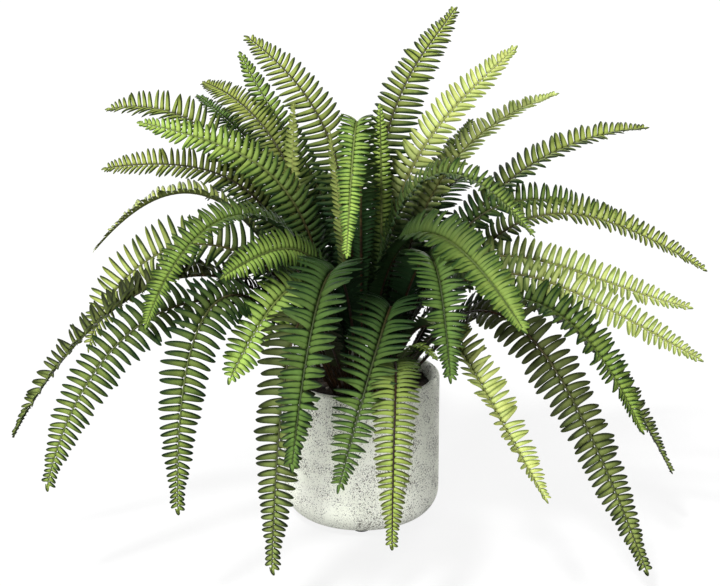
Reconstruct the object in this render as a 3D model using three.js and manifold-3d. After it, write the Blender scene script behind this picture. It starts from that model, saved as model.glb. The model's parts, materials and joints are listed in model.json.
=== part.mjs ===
// Potted fern: a speckled stone pot on four small pads, filled with soil, and the arching
// fronds of a sword fern. Millimetres, +Z up. The origin is on the floor under the pot's
// axis, +X is the plant's right, and -Y is the side that it shows.
import * as THREE from 'three';
import { mergeVertices } from 'three/addons/utils/BufferGeometryUtils.js';
import Module from 'manifold-3d';

const wasm = await Module();
wasm.setup();

const DEG = Math.PI / 180;
const MERGE_WITHIN = 1e-4;

// Pot and pads
const PAD_HEIGHT = 2;
const PAD_RADIUS = 8;
const PAD_RING = 47;
const PAD_SIDES = 16;
const PAD_COUNT = 4;
const POT_RADIUS = 78;
const POT_TOP = 149;
const POT_CORNER = 28;
const POT_CORNER_STEPS = 6;
const POT_WALL = 8;
const POT_FLOOR = 10;
const POT_INNER_CORNER = 20;
const LIP_ROUND = 3;
const FINE_STEPS = 3;
const POT_SIDES = 40;

// Soil
const SOIL_TOP = 135;
const SOIL_GAP = 0.3;
const HOLE_GAP = 0.3;
const STEM_DEPTH = 20;

// Where a stem leaves the soil: upright ones stand near the pot's axis and low ones further
// out, in millimetres for each degree below upright
const ROOT_LIFT = 2;
const ROOT_NEAR = 6;
const ROOT_SPREAD = 0.95;
const LOW_LAUNCH = 50;
const UPRIGHT = 90;

// The share of a frond's line that is bare stem, low and upright, and the stem's section
const BARE_LOW = 0.2;
const BARE_UPRIGHT = 0.34;
const STEM_STEP = 30;
const STEM_HALF = 1.6;
const RIB_HALF_START = 1.3;
const RIB_HALF_END = 0.6;

// Blade: the shares are of its length, the reach is of the longest leaflet
const LEAFLET_PITCH = 17.5;
const LEAFLET_LEAN = 0.22;
const LEAFLET_TIP_THICKNESS = 0.8;
const FIRST_REACH = 0.45;
const FULL_REACH_AT = 0.3;
const TAPER_START = 3;
const TAPER_FULLNESS = 0.7;
const LAST_RING = 0.985;
const ROLL_FROM = 0.15;
const ROLL_TO = 0.45;

const COLOURS = {
  pot: 0xd9dccd,
  soil: 0x1c1712,
  pad: 0x1a1a1a,
  deep: 0x2f5526,
  mid: 0x4f7d2e,
  light: 0x96b04a,
};

// Each frond has the azimuth and elevation in degrees at which its stem leaves the soil and
// how far it keeps that course, the place of its tip, the azimuth and elevation of its
// heading there and how far back it holds that heading, the turn of its blade about the rib
// and the fold of its leaflets below it in degrees, their longest reach, and its tint.
const FRONDS = {
  frond_01: [[112, 87, 212], [-113, 60, 478], [152, 30, 120], [-40, 10, 24], 'mid'],
  frond_02: [[99, 76, 192], [-123, 130, 447], [150, 60, 120], [-35, 10, 15], 'deep'],
  frond_03: [[136, 74, 160], [-164, 162, 410], [130, 3, 150], [-35, 10, 19], 'mid'],
  frond_04: [[121, 72, 165], [-174, 220, 383], [128, 15, 150], [-20, 10, 18], 'deep'],
  frond_05: [[161, 64, 150], [-255, 92, 397], [161, -13, 160], [-38, -12, 20], 'mid'],
  frond_06: [[176, 80, 215], [-217, 20, 401], [175, 12, 150], [-50, 0, 20], 'mid'],
  frond_07: [[168, 70, 163], [-257, 48, 347], [169, -11, 185], [-45, -5, 18], 'light'],
  frond_08: [[182, 70, 208], [-262, 0, 277], [180, -50, 150], [5, -15, 20], 'deep'],
  frond_09: [[208, 72, 230], [-267, -40, 188], [185, -75, 135], [-42, -10, 28.5], 'light'],
  frond_10: [[207, 66, 218], [-337, -97, 117], [197, -60, 200], [-25, -5, 18.5], 'deep'],
  frond_11: [[210, 62, 200], [-293, -190, 101], [214, -75, 190], [-40, 5, 26], 'mid'],
  frond_12: [[222, 58, 220], [-168, -230, 95], [233, -90, 240], [-45, 5, 26], 'mid'],
  frond_13: [[205, 80, 240], [-201, -150, 246], [220, -65, 150], [-20, -18, 17], 'mid'],
  frond_14: [[236, 78, 170], [-129, -150, 295], [220, -20, 100], [-60, 0, 20], 'mid'],
  frond_15: [[240, 70, 160], [-122, -190, 207], [235, -45, 150], [-30, -8, 21], 'light'],
  frond_16: [[140, 66, 150], [-66, 20, 420], [30, 88, 150], [60, 10, 9], 'light'],
  frond_17: [[270, 88, 300], [-14, -120, 306], [264, -60, 220], [0, -18, 15], 'light'],
  frond_18: [[200, 86, 100], [-31, -15, 405], [150, 80, 100], [0, 10, 10], 'mid'],
  frond_19: [[80, 86, 290], [94, 120, 494], [45, 42, 90], [15, 10, 25], 'mid'],
  frond_20: [[30, 85, 210], [152, 60, 467], [22, 38, 150], [30, -10, 20], 'light'],
  frond_21: [[28, 78, 190], [196, 100, 411], [27, 12, 130], [10, -10, 19], 'mid'],
  frond_22: [[36, 66, 160], [289, 100, 376], [17, 0, 140], [15, -10, 20], 'mid'],
  frond_23: [[15, 70, 201], [291, 75, 271], [14, -28, 180], [38, -10, 17], 'mid'],
  frond_24: [[0, 64, 219], [341, 5, 254], [1, -32, 190], [35, -14, 16], 'mid'],
  frond_25: [[-14, 72, 230], [320, -40, 230], [-7, -12, 150], [45, -10, 18], 'light'],
  frond_26: [[-32, 68, 219], [326, -85, 192], [-10, -27, 170], [45, -8, 19], 'light'],
  frond_27: [[-70, 80, 205], [149, -180, 253], [-45, -45, 165], [30, -20, 21], 'mid'],
  frond_28: [[-62, 85, 235], [164, -50, 307], [-15, -50, 140], [20, -15, 18], 'deep'],
  frond_29: [[-44, 57, 225], [266, -214, 26], [-37, -64, 265], [30, 5, 25], 'deep'],
  frond_30: [[-10, 54, 190], [307, -50, 62], [-9, -62, 200], [20, -25, 16], 'deep'],
  frond_31: [[-30, 58, 180], [266, -130, 136], [-26, -63, 170], [22, -20, 21], 'mid'],
  frond_32: [[-50, 64, 175], [168, -240, 111], [-46, -45, 175], [-5, -30, 20], 'light'],
  frond_33: [[-35, 74, 200], [81, -200, 214], [-80, -65, 150], [10, -20, 22], 'deep'],
  frond_34: [[-62, 68, 200], [-21, -265, 131], [-112, -50, 170], [0, -22, 25], 'deep'],
  frond_35: [[-62, 50, 60], [71.4, -92, 196], [-46, -30, 50], [0, 10, 12], 'light'],
  frond_36: [[-70, 50, 120], [27, -295, 88], [-92, -78, 190], [0, 10, 21], 'light'],
  frond_37: [[-100, 74, 220], [-62, -275, 156], [-104, -65, 205], [0, -22, 25], 'mid'],
  frond_38: [[-112, 60, 215], [-82, -255, 45], [-105, -82, 250], [0, 10, 29], 'deep'],
  frond_39: [[345, 84, 110], [18, 20, 420], [95, 80, 110], [10, 10, 10], 'light'],
  frond_40: [[62, 74, 125], [114, 160, 370], [54, 30, 125], [0, 10, 18], 'mid'],
  frond_41: [[50, 66, 180], [170, 210, 260], [51, -40, 180], [0, 10, 22], 'deep'],
  frond_42: [[75, 64, 190], [75, 275, 215], [75, -50, 190], [0, 10, 22], 'mid'],
  frond_43: [[100, 66, 190], [-50, 285, 235], [100, -45, 190], [0, 10, 22], 'mid'],
  frond_44: [[125, 64, 180], [-165, 230, 265], [126, -40, 180], [0, 10, 22], 'deep'],
  frond_45: [[62, 52, 150], [117, 200, 172], [60, -50, 150], [0, 10, 22], 'mid'],
  frond_46: [[90, 52, 175], [5, 290, 110], [89, -65, 175], [0, 10, 22], 'deep'],
  frond_47: [[108, 52, 150], [-67, 230, 151], [106, -50, 150], [0, 10, 22], 'mid'],
  frond_48: [[140, 54, 150], [-156, 180, 179], [131, -50, 150], [0, 10, 22], 'deep'],
  frond_49: [[50, 60, 130], [145, 125, 205], [41, -50, 120], [0, 10, 19], 'mid'],
  frond_50: [[97, 58, 120], [-26, 190, 176], [99, -58, 125], [0, 10, 18], 'deep'],
  frond_51: [[158, 55, 115], [-150, 80, 190], [150, -52, 118], [0, 10, 18], 'deep'],
  frond_52: [[22, 56, 120], [160, 45, 190], [14, -50, 120], [0, 10, 19], 'deep'],
};

// Merges a geometry's corners and drops the triangles that this closes up.
function weld(geometry) {
  const bare = new THREE.BufferGeometry();
  bare.setAttribute('position', geometry.getAttribute('position'));
  if (geometry.index) bare.setIndex(geometry.index);
  const merged = mergeVertices(bare, MERGE_WITHIN);
  const corners = merged.index.array;
  const kept = [];
  for (let i = 0; i < corners.length; i += 3) {
    const [a, b, c] = corners.slice(i, i + 3);
    if (a !== b && b !== c && c !== a) kept.push(a, b, c);
  }
  merged.setIndex(kept);
  return merged;
}

function toSolid(geometry) {
  return new wasm.Manifold(new wasm.Mesh({
    numProp: 3,
    vertProperties: new Float32Array(geometry.getAttribute('position').array),
    triVerts: new Uint32Array(geometry.index.array),
  }));
}

function fromSolid(solid) {
  const { vertProperties, triVerts } = solid.getMesh();
  const geometry = new THREE.BufferGeometry();
  geometry.setAttribute('position', new THREE.BufferAttribute(vertProperties, 3));
  geometry.setIndex(new THREE.BufferAttribute(triVerts, 1));
  return geometry;
}

// Points of a profile's round corner, radius out and height up, from one angle to another.
function arc(centreR, centreZ, radius, from, to, steps) {
  const points = [];
  for (let i = 0; i <= steps; i += 1) {
    const angle = (from + ((to - from) * i) / steps) * DEG;
    points.push(new THREE.Vector2(
      centreR + radius * Math.cos(angle),
      centreZ + radius * Math.sin(angle),
    ));
  }
  return points;
}

function turned(profile) {
  return weld(new THREE.LatheGeometry(profile, POT_SIDES).rotateX(Math.PI / 2));
}

// The pot is one thick cup, rounded below, with a rounded lip.
function potGeometry() {
  const inner = POT_RADIUS - POT_WALL;
  const floorTop = PAD_HEIGHT + POT_FLOOR;
  const insideR = inner - POT_INNER_CORNER;
  const insideZ = floorTop + POT_INNER_CORNER;
  const lipZ = POT_TOP - LIP_ROUND;
  return turned([
    new THREE.Vector2(0, PAD_HEIGHT),
    ...arc(POT_RADIUS - POT_CORNER, PAD_HEIGHT + POT_CORNER, POT_CORNER, -90, 0, POT_CORNER_STEPS),
    ...arc(POT_RADIUS - LIP_ROUND, lipZ, LIP_ROUND, 0, 90, FINE_STEPS),
    ...arc(inner + LIP_ROUND, lipZ, LIP_ROUND, 90, 180, FINE_STEPS),
    ...arc(insideR, insideZ, POT_INNER_CORNER, 0, -90, FINE_STEPS),
    new THREE.Vector2(0, floorTop),
  ]);
}

// The soil fills the cup, with a plain square hole for each stem.
function soilGeometry(rows) {
  const outer = POT_RADIUS - POT_WALL - SOIL_GAP;
  const floorTop = PAD_HEIGHT + POT_FLOOR;
  const corner = POT_INNER_CORNER;
  let soil = toSolid(turned([
    new THREE.Vector2(0, floorTop),
    ...arc(outer - corner, floorTop + corner, corner, -90, 0, FINE_STEPS),
    new THREE.Vector2(outer, SOIL_TOP),
    new THREE.Vector2(0, SOIL_TOP),
  ]));
  for (const row of rows) soil = soil.subtract(toSolid(holeGeometry(row)));
  return fromSolid(soil);
}

function holeGeometry(row) {
  const line = frondLine(row);
  const across = 2 * (STEM_HALF + HOLE_GAP);
  const depth = STEM_DEPTH + HOLE_GAP;
  const { side } = line.frame(0);
  return weld(new THREE.BoxGeometry(across, across, 2 * depth))
    .rotateZ(Math.atan2(side.y, side.x))
    .translate(line.root.x, line.root.y, SOIL_TOP);
}

function padGeometry() {
  const pad = new THREE.CylinderGeometry(PAD_RADIUS, PAD_RADIUS, PAD_HEIGHT, PAD_SIDES);
  return weld(pad.rotateX(Math.PI / 2));
}

// A unit vector at an azimuth and an elevation in degrees.
function course(azimuth, elevation) {
  return new THREE.Vector3(
    Math.cos(elevation * DEG) * Math.cos(azimuth * DEG),
    Math.cos(elevation * DEG) * Math.sin(azimuth * DEG),
    Math.sin(elevation * DEG),
  );
}

function smooth(value, from, to) {
  const t = Math.min(1, Math.max(0, (value - from) / (to - from)));
  return t * t * (3 - 2 * t);
}

// The line of a frond's rib, and the way that its blade faces at a share of its length.
function frondLine(row) {
  const [[azimuth, launch, rise], place, [heading, dip, fall], [roll]] = row;
  const root = course(azimuth, 0).multiplyScalar(ROOT_NEAR + ROOT_SPREAD * (UPRIGHT - launch));
  root.z = SOIL_TOP + ROOT_LIFT;
  const tip = new THREE.Vector3(...place);
  const curve = new THREE.CubicBezierCurve3(
    root,
    root.clone().addScaledVector(course(azimuth, launch), rise),
    tip.clone().addScaledVector(course(heading, dip), -fall),
    tip,
  );
  const level = course(Math.atan2(tip.y - root.y, tip.x - root.x) / DEG - 90, 0);
  const frame = (share) => {
    const along = curve.getTangentAt(share);
    const side = level.clone().addScaledVector(along, -along.dot(level)).normalize();
    side.applyAxisAngle(along, roll * DEG * smooth(share, ROLL_FROM, ROLL_TO));
    return { at: curve.getPointAt(share), along, side, up: side.clone().cross(along) };
  };
  const upright = (launch - LOW_LAUNCH) / (UPRIGHT - LOW_LAUNCH);
  const bare = BARE_LOW + (BARE_UPRIGHT - BARE_LOW) * upright;
  return { root, bare, length: curve.getLength(), frame };
}

// The reach of the leaflets at a share of the blade, as a share of the longest.
function leafletShare(blade) {
  const opening = Math.sin(Math.min(1, blade / FULL_REACH_AT) * (Math.PI / 2));
  const taper = (1 - blade ** TAPER_START) ** TAPER_FULLNESS;
  return (FIRST_REACH + (1 - FIRST_REACH) * opening) * taper;
}

// The skin of one closed body that is built along a frond's line.
class Skin {
  constructor() {
    this.points = [];
    this.faces = [];
  }

  put(point) {
    this.points.push(point.x, point.y, point.z);
    return this.points.length / 3 - 1;
  }

  triangle(a, b, c) {
    this.faces.push(a, c, b);
  }

  quad(a, b, c, d) {
    this.triangle(a, b, c);
    this.triangle(a, c, d);
  }

  // Four corners about a point: right top, left top, left bottom and right bottom, looking
  // towards the tip.
  ring({ at, side, up }, half) {
    const corner = (across, over) => this.put(
      at.clone().addScaledVector(side, across * half).addScaledVector(up, over * half),
    );
    return [corner(1, 1), corner(-1, 1), corner(-1, -1), corner(1, -1)];
  }

  // The faces between two rings: top, left, bottom and right, or the top and bottom only.
  wall(low, high, sides) {
    for (let i = 0; i < 4; i += sides ? 1 : 2) {
      const next = (i + 1) % 4;
      this.quad(low[i], low[next], high[next], high[i]);
    }
  }

  // The two corners of a thin edge across a point, top and bottom.
  edge(point, up) {
    const half = LEAFLET_TIP_THICKNESS / 2;
    return [half, -half].map((over) => this.put(point.clone().addScaledVector(up, over)));
  }

  // A pointed leaflet that stands on the right or left side between two rings.
  leaflet(low, high, tip, up, right) {
    const [top, bottom] = this.edge(tip, up);
    if (right) {
      this.triangle(low[0], high[0], top);
      this.triangle(low[3], bottom, high[3]);
      this.quad(low[3], low[0], top, bottom);
      this.quad(bottom, top, high[0], high[3]);
    } else {
      this.triangle(low[1], top, high[1]);
      this.triangle(low[2], high[2], bottom);
      this.quad(low[1], low[2], bottom, top);
      this.quad(top, bottom, high[2], high[1]);
    }
  }

  geometry() {
    const geometry = new THREE.BufferGeometry();
    geometry.setAttribute('position', new THREE.Float32BufferAttribute(this.points, 3));
    geometry.setIndex(this.faces);
    return geometry;
  }
}

// The stem stands upright in the soil and leans off above it. It ends in its top ring.
function addStem(skin, line) {
  const foot = line.frame(0);
  foot.along.set(0, 0, 1);
  foot.side.setZ(0).normalize();
  foot.up = foot.side.clone().cross(foot.along);
  const base = { ...foot, at: foot.at.clone().setZ(SOIL_TOP - STEM_DEPTH) };
  const bottom = skin.ring(base, STEM_HALF);
  skin.quad(bottom[3], bottom[2], bottom[1], bottom[0]);
  let last = skin.ring(foot, STEM_HALF);
  skin.wall(bottom, last, true);
  const steps = Math.round((line.length * line.bare) / STEM_STEP);
  for (let i = 1; i <= steps; i += 1) {
    const half = STEM_HALF + ((RIB_HALF_START - STEM_HALF) * i) / steps;
    const next = skin.ring(line.frame((line.bare * i) / steps), half);
    skin.wall(last, next, true);
    last = next;
  }
  return last;
}

// The blade is one thin arched body, with pointed leaflets cut back to the rib.
function addBlade(skin, line, start, fold, reach) {
  const pairs = Math.round((line.length * (1 - line.bare)) / LEAFLET_PITCH);
  const share = (blade) => line.bare + (1 - line.bare) * blade;
  let last = start;
  for (let i = 0; i < pairs; i += 1) {
    const blade = (i + 1) / pairs;
    const half = RIB_HALF_START + (RIB_HALF_END - RIB_HALF_START) * blade;
    const next = skin.ring(line.frame(share(Math.min(blade, LAST_RING))), half);
    skin.wall(last, next, false);
    const middle = (i + 0.5) / pairs;
    const { at, along, side, up } = line.frame(share(middle));
    const length = reach * leafletShare(middle);
    for (const across of [1, -1]) {
      const out = side.clone().multiplyScalar(across * Math.cos(fold * DEG))
        .addScaledVector(up, -Math.sin(fold * DEG))
        .addScaledVector(along, LEAFLET_LEAN);
      skin.leaflet(last, next, at.clone().addScaledVector(out, length), up, across > 0);
    }
    last = next;
  }
  const end = line.frame(1);
  const [top, bottom] = skin.edge(end.at, end.up);
  skin.triangle(last[0], last[1], top);
  skin.triangle(last[2], last[3], bottom);
  skin.quad(last[1], last[2], bottom, top);
  skin.quad(last[3], last[0], top, bottom);
}

function frondGeometry(row) {
  const line = frondLine(row);
  const [, fold, reach] = row[3];
  const skin = new Skin();
  addBlade(skin, line, addStem(skin, line), fold, reach);
  return skin.geometry();
}

function mesh(name, geometry, colour, roughness) {
  const finish = new THREE.MeshStandardMaterial({ color: COLOURS[colour], roughness, metalness: 0 });
  const piece = new THREE.Mesh(geometry, finish);
  piece.name = name;
  return piece;
}

const fern = new THREE.Group();
fern.add(mesh('pot', potGeometry(), 'pot', 0.75));
fern.add(mesh('soil', soilGeometry(Object.values(FRONDS)), 'soil', 0.95));
for (let i = 0; i < PAD_COUNT; i += 1) {
  const angle = (i / PAD_COUNT - 0.25) * 2 * Math.PI;
  const pad = mesh(`pad_${i + 1}`, padGeometry(), 'pad', 0.8);
  pad.position.set(PAD_RING * Math.cos(angle), PAD_RING * Math.sin(angle), PAD_HEIGHT / 2);
  fern.add(pad);
}
for (const [name, row] of Object.entries(FRONDS)) {
  fern.add(mesh(name, frondGeometry(row), row[4], 0.5));
}

export default fern;
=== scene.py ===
# Potted fern: the looks of a sword fern in a speckled pot, around its fixed frame. Metres, +Z up.
import json
import math

import bmesh
import bpy
import numpy as np
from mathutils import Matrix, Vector


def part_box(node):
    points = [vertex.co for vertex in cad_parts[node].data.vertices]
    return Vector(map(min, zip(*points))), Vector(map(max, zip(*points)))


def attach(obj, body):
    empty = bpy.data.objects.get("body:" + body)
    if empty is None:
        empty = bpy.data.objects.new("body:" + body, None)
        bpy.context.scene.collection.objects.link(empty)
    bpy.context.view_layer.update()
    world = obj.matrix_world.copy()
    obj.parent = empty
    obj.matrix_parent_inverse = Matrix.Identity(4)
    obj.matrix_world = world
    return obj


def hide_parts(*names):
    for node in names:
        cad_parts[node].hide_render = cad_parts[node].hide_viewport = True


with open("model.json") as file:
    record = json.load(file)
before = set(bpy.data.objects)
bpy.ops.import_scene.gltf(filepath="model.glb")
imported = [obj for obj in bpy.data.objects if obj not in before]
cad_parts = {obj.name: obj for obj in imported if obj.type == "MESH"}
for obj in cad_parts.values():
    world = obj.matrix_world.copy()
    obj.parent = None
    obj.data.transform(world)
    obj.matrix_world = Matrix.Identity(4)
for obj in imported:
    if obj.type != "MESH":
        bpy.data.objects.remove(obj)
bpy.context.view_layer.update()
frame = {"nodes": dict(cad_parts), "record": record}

SEED = 23

# Camera, at the photograph's viewing angle
CAMERA_PLACE = (-0.0015, -2.262, 0.950)
CAMERA_DOWN = 17.6
LENS = 120
SENSOR = 36

# Room: a pale floor, even light from all round, and five lights from far away. Each of those has
# the way that it comes from, its spread in degrees and its power.
FLOOR_REACH = 9
FLOOR_GREY = 0.10
FLOOR_ROUGH = 0.9
FLOOR_SHINE = 0.1
FLOOR_GLOW = 0.84
ROOM_GLOW = 0.15
SUNS = {
    "key": ((-0.8, -1.2, 2.2), 9, 4.4),
    "fill": ((-0.7, -2.2, 0.4), 25, 2.4),
    "side": ((2.0, -1.2, 0.7), 30, 0.8),
    "behind_left": ((-1.0, 2.2, 0.65), 35, 1.7),
    "behind_right": ((1.0, 2.2, 0.65), 35, 1.7),
}

# Pot, with its outer size read from the frame
POT_LOW, POT_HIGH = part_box("pot")
SOIL_LOW, SOIL_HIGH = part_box("soil")
POT_RADIUS = (POT_HIGH.x - POT_LOW.x) / 2
POT_WALL = 0.008
POT_FLAT = 0.025
POT_CORNER = 0.028
POT_CORNER_STEPS = 18
INNER_CORNER = 0.020
INNER_CORNER_STEPS = 8
LIP_ROUND = 0.003
LIP_STEPS = 8
OUTER_WALL_STEPS = 16
INNER_WALL_STEPS = 12
POT_SEGMENTS = 192

# Soil, a hair inside the pot's wall. Its top is a sum of waves in several ways, each with a
# share of the roughness and a length, and it is level at the wall.
SOIL_GAP = 0.0003
SOIL_RADIUS = POT_RADIUS - POT_WALL - SOIL_GAP
SOIL_FLAT = 0.02
SOIL_RINGS = 44
SOIL_SEGMENTS = 150
SOIL_ROUGH = 0.0022
SOIL_WAVES = ((0.8, 0.040), (0.5, 0.017), (0.35, 0.009), (0.3, 0.006), (0.25, 0.004))
WAVE_WAYS = 4
WAVE_CALM = 3
WAVE_LENGTH_RANGE = (0.8, 1.25)
LEVEL_FROM = 0.9
TOP_WITHIN = 0.0001

# Crumbs on the soil: their field as a share of its radius, and their sizes and stretches
CRUMBS = 520
CRUMB_FIELD = 0.955
CRUMB_RANGE = (0.0007, 0.0024)
CRUMB_LARGE = 1.5
CRUMB_LARGE_CHANCE = 0.12
CRUMB_STRETCHES = ((0.8, 1.9), (0.6, 1.0), (0.4, 0.8))
CRUMB_LUMPY = 0.22
CRUMB_LIFT = 0.15

# Pads, with the round of their lower edge as a share of their height
PAD_ROUND = 0.3
PAD_ROUND_STEPS = 4
PAD_FLAT = 0.5
PAD_BEVEL = 0.0001
PAD_SEGMENTS = 40

# Stems. Upright ones stand near the pot's axis and are bare for longer, and a blade turns about
# its rib between two shares of the frond's length.
STEM_DEPTH = 0.020
ROOT_LIFT = 0.002
ROOT_NEAR = 0.006
ROOT_SPREAD = 0.00095
LOW_LAUNCH = 50
UPRIGHT = 90
BARE_LOW = 0.2
BARE_UPRIGHT = 0.34
ROLL_FROM = 0.15
ROLL_TO = 0.45
STEM_RADIUS = 0.0016
RIB_RADIUS_START = 0.0014
RIB_RADIUS_END = 0.0005
RIB_SIDES = 10
RIB_GROOVE = 0.72
RIB_STEP = 0.006
RIB_RINGS_LEAST = 12
CURVE_STEPS = 400

# Leaflets along the blade. The first small ones stand on the stem, from a share of its bare
# length on. Their pitch grows with their reach, which opens from the first pairs of the blade,
# shrinks quickly below the blade's start and tapers towards the frond's tip.
PITCH_LEAST = 0.0022
PITCH_SHARE = 0.17
FIRST_ON_STEM = 0.42
BLADE_END = 0.985
BLADE_LAST = 0.99
STAGGER = 0.2
OPENING_FIRST = 0.52
OPENING_LENGTH = 0.3
FOOT_SHRINK = 3.4
FOOT_LEAST = 0.2
TAPER_POWER = 0.75
LAST_SHARE = 0.26
LAST_LEAFLET = 0.26

# Form of a leaflet: its width, a least one and a share of its length; its lean towards the
# frond's tip in radians; how far it turns to the light; its arch as a share of its length, and
# the growth of that for each degree of a fold upwards; its root in the rib; and its thickness
WIDTH_LEAST = 0.0025
WIDTH_SHARE = 0.115
LEAN = 0.05
LEAN_AT_TIP = 0.35
LEAN_POWER = 6
TO_LIGHT = 0.35
ARCH = 0.42
ARCH_OF_FOLD = 0.018
ROOT_IN_RIB = 0.5
LEAFLET_THICK = 0.00034
LEAFLET_THINS = 0.55

# A leaflet's outline on the side towards the frond's tip and on the other side: how wide it is
# at the rib, how much of that it loses, and how late and how roundly it closes. Its ear by the
# rib is a bump on each side. Widths are in halves of its width, and lengths in its length.
FRONT_OUTLINE = (1.02, 0.10, 8, 0.6)
BACK_OUTLINE = (1.06, 0.16, 3.6, 0.7)
FRONT_EAR = 0.32
BACK_EAR = 0.14
EAR_PLACE = 0.04
EAR_LENGTH = 0.08

# Rings round a leaflet. Each of the eight points has its place across, in half widths, and its
# lift in thicknesses. The first and the fifth are on the rim.
LEAFLET_ROUND = (
    (1.0, 0.0), (0.5, 0.5), (0.0, 0.05), (-0.5, 0.5),
    (-1.0, 0.0), (-0.5, -0.45), (0.0, -1.25), (0.5, -0.45),
)
TIP_MARK = len(LEAFLET_ROUND)
RIM_MARKS = (0, 4, TIP_MARK)
LEAFLET_STEPS = 8
SHORT_STEPS = 6
SHORT_LEAFLET = 0.012
STEP_POWER = 1.5

# How leaflets differ: ranges, and spreads about the middle in radians
LENGTH_RANGE = (0.93, 1.07)
WIDTH_RANGE = (0.93, 1.07)
DROOP_RANGE = (0.02, 0.22)
SICKLE_RANGE = (0.04, 0.16)
CUP_RANGE = (0.38, 0.60)
LEAN_SPREAD = 0.035
FOLD_SPREAD = 0.045
TWIST_SPREAD = 0.09
FROND_CHANCE = 0.4
LEAFLET_CHANCE = 0.6

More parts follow.
